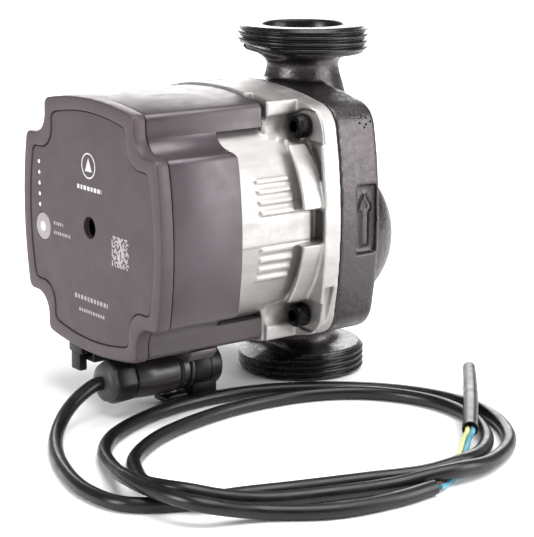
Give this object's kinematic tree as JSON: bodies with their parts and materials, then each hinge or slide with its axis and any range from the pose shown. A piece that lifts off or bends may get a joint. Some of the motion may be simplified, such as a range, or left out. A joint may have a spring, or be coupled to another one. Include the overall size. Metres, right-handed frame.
{
  "type": "circulator pump",
  "caption": "Wet-rotor circulator pump with square control box, threaded pipe ports and a flying mains lead lying in loops.",
  "frame": {"origin": "on the floor, under the middle of the pump without its lead: the bottom face of the lower port is z = 0", "axes": "+Z along the pipe from the lower port to the upper port, +Y from the control box towards the pump housing along the shaft, +X to the right seen from the control box"},
  "size_m": [0.1874, 0.179, 0.13],
  "materials": {
    "cover_grey": "fine spark texture",
    "panel_grey": "matt printed overlay",
    "box_grey": "satin moulded",
    "black_plastic": "satin moulded",
    "plug_grey": "soft overmould",
    "light_button": "smooth",
    "clear_guide": "clear moulded",
    "cast_aluminium": "bare die casting",
    "black_iron": "black electrocoat over sand casting",
    "black_screw": "black oxide",
    "steel": "stainless",
    "lamination": "stacked sheet",
    "copper": "enamelled wire",
    "graphite": "pressed carbon",
    "ceramic": "ground ceramic",
    "magnet": "ferrite in a steel jacket",
    "impeller_plastic": "glass filled",
    "rubber": "EPDM",
    "board": "solder mask",
    "brass": "turned",
    "cord_black": "glossy PVC sheath",
    "core_blue": "PVC insulation",
    "core_brown": "PVC insulation",
    "core_earth": "PVC insulation, two colours"
  },
  "bodies": {
    "pump": {"control_cover": "cover_grey", "front_panel": "panel_grey", "light_guide": "clear_guide", "control_box": "box_grey", "main_board": "board", "tact_switch": "black_plastic", "line_choke": "copper", "dc_capacitor": "graphite", "power_module": "black_plastic", "deblock_sleeve": "brass", "deblock_spring": "steel", "deblock_seal": "rubber", "stator_housing": "cast_aluminium", "stator_core": "lamination", "coil_1": "copper", "coil_2": "copper", "coil_3": "copper", "coil_4": "copper", "coil_5": "copper", "coil_6": "copper", "rotor_can": "steel", "bearing_plate": "steel", "front_bearing": "graphite", "rear_bearing": "graphite", "neck_ring": "steel", "housing_seal": "rubber", "pump_housing": "black_iron", "housing_screw_1": "black_screw", "housing_screw_2": "black_screw", "housing_screw_3": "black_screw", "housing_screw_4": "black_screw", "power_socket": "black_plastic", "line_pin": "brass", "earth_pin": "brass", "neutral_pin": "brass", "plug_body": "plug_grey", "plug_seal": "rubber", "plug_boot": "plug_grey", "plug_latch": "black_plastic", "signal_socket": "black_plastic", "signal_latch": "black_plastic", "cord": "cord_black", "core_blue": "core_blue", "core_brown": "core_brown", "core_earth": "core_earth", "sheath_end": "cord_black"},
    "rotor": {"rotor_magnet": "magnet", "shaft": "ceramic", "thrust_bearing": "ceramic", "impeller": "impeller_plastic", "impeller_cover": "impeller_plastic"},
    "button": {"mode_button": "light_button"},
    "deblock": {"deblock_screw": "brass"}
  },
  "joints": [
    {"name": "rotor_spin", "type": "hinge", "parent": "pump", "child": "rotor", "pos_m": [0, 0, 0.065], "axis": [0, 1, 0], "continuous": true},
    {"name": "button_press", "type": "slide", "parent": "pump", "child": "button", "axis": [0, 1, 0], "range_m": [0, 0.0004]},
    {"name": "deblock_press", "type": "slide", "parent": "pump", "child": "deblock", "axis": [0, 1, 0], "range_m": [0, 0.0025], "deforming": ["deblock_spring"]}
  ]
}
